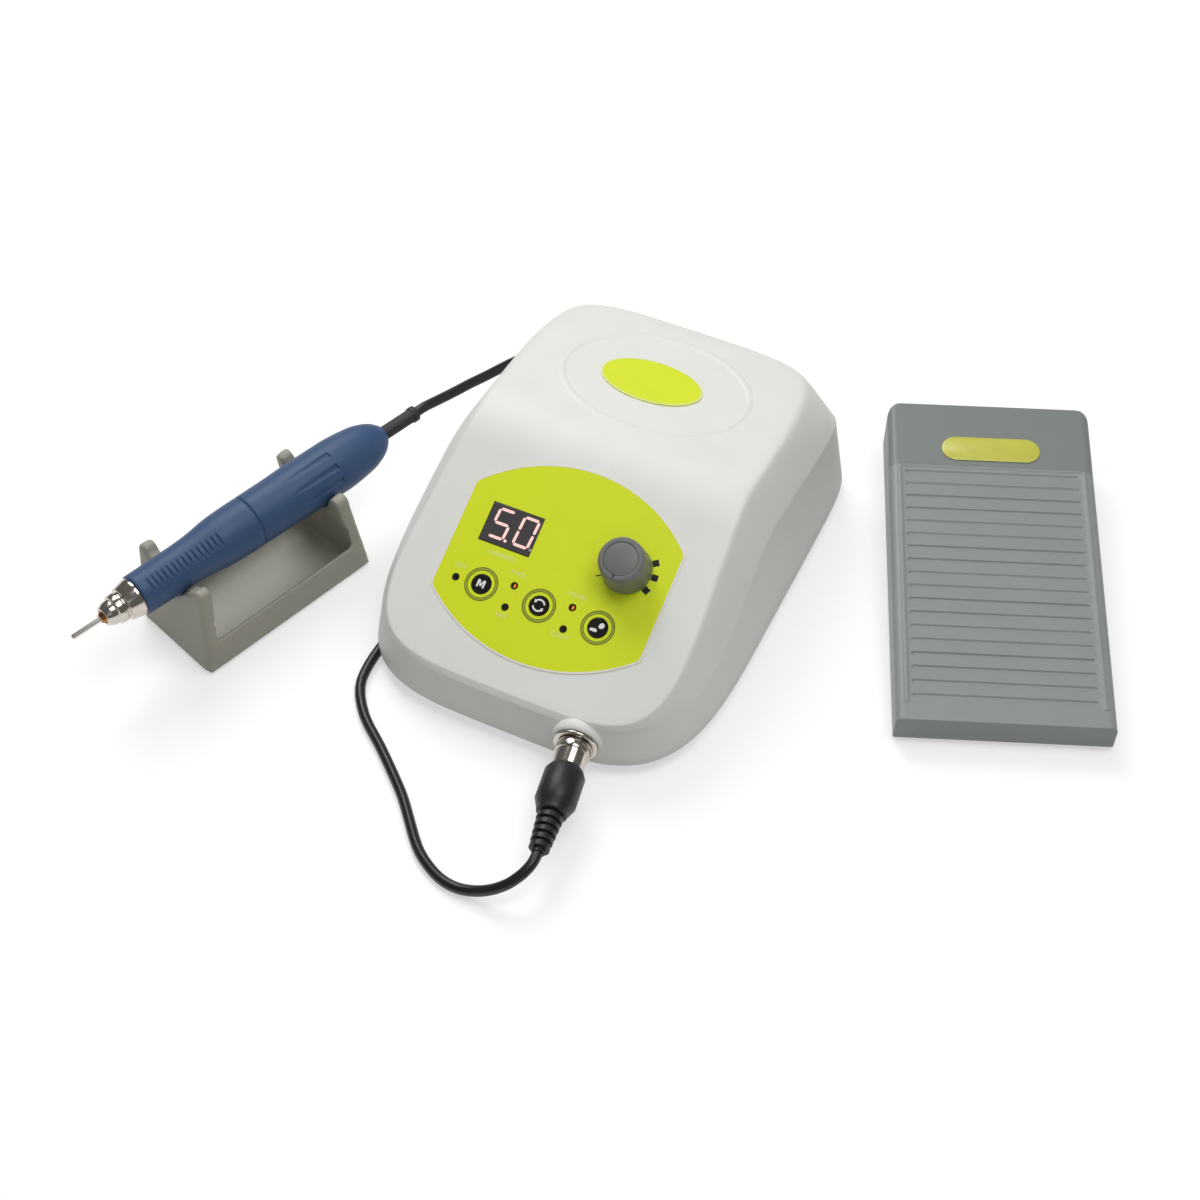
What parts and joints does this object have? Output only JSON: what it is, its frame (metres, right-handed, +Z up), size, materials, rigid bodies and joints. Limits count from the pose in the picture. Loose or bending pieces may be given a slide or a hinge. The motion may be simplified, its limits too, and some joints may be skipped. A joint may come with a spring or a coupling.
{
  "type": "dental laboratory micromotor",
  "caption": "Tabletop micromotor set: sloping control unit with display, keys and speed knob, corded rotary handpiece lying in a pronged cradle, and a hinged foot pedal.",
  "frame": {"origin": "centre of the control unit's footprint, on the table", "axes": "+X to the unit's right along the longest extent, +Y to the unit's rear, +Z up"},
  "size_m": [0.435, 0.3558, 0.0799],
  "materials": {
    "housing": "satin moulded",
    "chassis_steel": "plated",
    "foot_rubber": "moulded",
    "panel_green": "printed film",
    "display_dark": "smoked",
    "knob_grey": "moulded",
    "gloss_black": "polished",
    "black_plastic": "moulded",
    "led": "clear red",
    "board": "solder mask",
    "copper": "enamelled winding",
    "nickel": "nickel plated",
    "rocker_red": "moulded",
    "plug_black": "moulded",
    "cord_black": "smooth sheath",
    "tie_black": "moulded",
    "bronze": "turned",
    "tool_steel": "ground",
    "sleeve_blue": "anodised look",
    "motor_magnet": "sintered",
    "rotor_iron": "wound",
    "sleeve_grey": "moulded",
    "cradle_grey": "moulded",
    "pedal_cream": "moulded",
    "treadle_grey": "moulded",
    "pedal_badge": "printed film"
  },
  "bodies": {
    "control_set": {"upper_housing": "housing", "chassis": "chassis_steel", "screws": "chassis_steel", "potentiometer": "chassis_steel", "transformer": "chassis_steel", "unit_feet": "foot_rubber", "cradle_feet": "foot_rubber", "pedal_feet": "foot_rubber", "panel_overlay": "panel_green", "top_badge": "panel_green", "display_module": "display_dark", "display_window": "display_dark", "key_switches": "black_plastic", "power_inlet": "black_plastic", "rocker_frame": "black_plastic", "fuse_holder": "black_plastic", "pedal_gland": "black_plastic", "indicator_leds": "led", "control_board": "board", "driver_board": "board", "pedal_sensor": "board", "transformer_coil": "copper", "inlet_pins": "nickel", "pedal_jack": "nickel", "motor_socket": "nickel", "socket_nut": "nickel", "plug_barrel": "nickel", "plug_grip": "plug_black", "plug_relief": "plug_black", "cord_front": "cord_black", "cord_hank": "cord_black", "cord_rear": "cord_black", "hank_tie": "tie_black", "hinge_pin": "tool_steel", "return_spring": "tool_steel", "cradle": "cradle_grey", "pedal_base": "pedal_cream"},
    "speed_dial": {"speed_knob": "knob_grey", "knob_cap": "knob_grey", "pot_shaft": "chassis_steel"},
    "key_memory": {"memory_key": "gloss_black"},
    "key_reverse": {"reverse_key": "gloss_black"},
    "key_mode": {"mode_key": "gloss_black"},
    "rocker": {"power_rocker": "rocker_red"},
    "handpiece": {"nose_cone": "nickel", "inner_barrel": "tool_steel", "rear_sleeve": "sleeve_blue", "motor_case": "tool_steel", "stator": "motor_magnet", "bearings": "tool_steel", "cord_sleeve": "sleeve_grey"},
    "lock_sleeve": {"front_sleeve": "sleeve_blue"},
    "drive": {"collet": "bronze", "rotor": "rotor_iron", "spindle": "tool_steel"},
    "tool": {"bur": "tool_steel"},
    "pedal_treadle": {"treadle": "treadle_grey", "pedal_badge": "pedal_badge"}
  },
  "joints": [
    {"name": "speed_dial_turn", "type": "hinge", "parent": "control_set", "child": "speed_dial", "pos_m": [0.03, -0.04256, 0.06014], "axis": [0, -0.4305, 0.9026], "range_deg": [-150, 150]},
    {"name": "memory_key_press", "type": "slide", "parent": "control_set", "child": "key_memory", "axis": [0, 0.4305, -0.9026], "range_m": [0, 0.0006], "stiffness_N_per_m": 600, "springref_m": -0.0008},
    {"name": "reverse_key_press", "type": "slide", "parent": "control_set", "child": "key_reverse", "axis": [0, 0.4305, -0.9026], "range_m": [0, 0.0006], "stiffness_N_per_m": 600, "springref_m": -0.0008},
    {"name": "mode_key_press", "type": "slide", "parent": "control_set", "child": "key_mode", "axis": [0, 0.4305, -0.9026], "range_m": [0, 0.0006], "stiffness_N_per_m": 600, "springref_m": -0.0008},
    {"name": "power_rocker_tilt", "type": "hinge", "parent": "control_set", "child": "rocker", "pos_m": [0.004, 0.101, 0.022], "axis": [1, 0, 0], "range_deg": [0, 16]},
    {"name": "handpiece_lift", "type": "slide", "parent": "control_set", "child": "handpiece", "axis": [0, 0, 1], "range_m": [0, 0.06]},
    {"name": "lock_sleeve_twist", "type": "hinge", "parent": "handpiece", "child": "lock_sleeve", "pos_m": [-0.1445, -0.0832, 0.0462], "axis": [0.3337, 0.9425, -0.0192], "range_deg": [0, 45]},
    {"name": "spindle_spin", "type": "hinge", "parent": "handpiece", "child": "drive", "pos_m": [-0.1445, -0.0832, 0.0462], "axis": [0.3337, 0.9425, -0.0192], "continuous": true},
    {"name": "bur_draw", "type": "slide", "parent": "drive", "child": "tool", "axis": [-0.3337, -0.9425, 0.0192], "range_m": [0, 0.03]},
    {"name": "treadle_press", "type": "hinge", "parent": "control_set", "child": "pedal_treadle", "pos_m": [0.20007, -0.00802, 0.009], "axis": [-0.9252, -0.3795, 0], "range_deg": [0, 3.5], "stiffness_Nm_per_rad": 8, "springref_deg": -8.59, "deforming": ["return_spring"]}
  ]
}
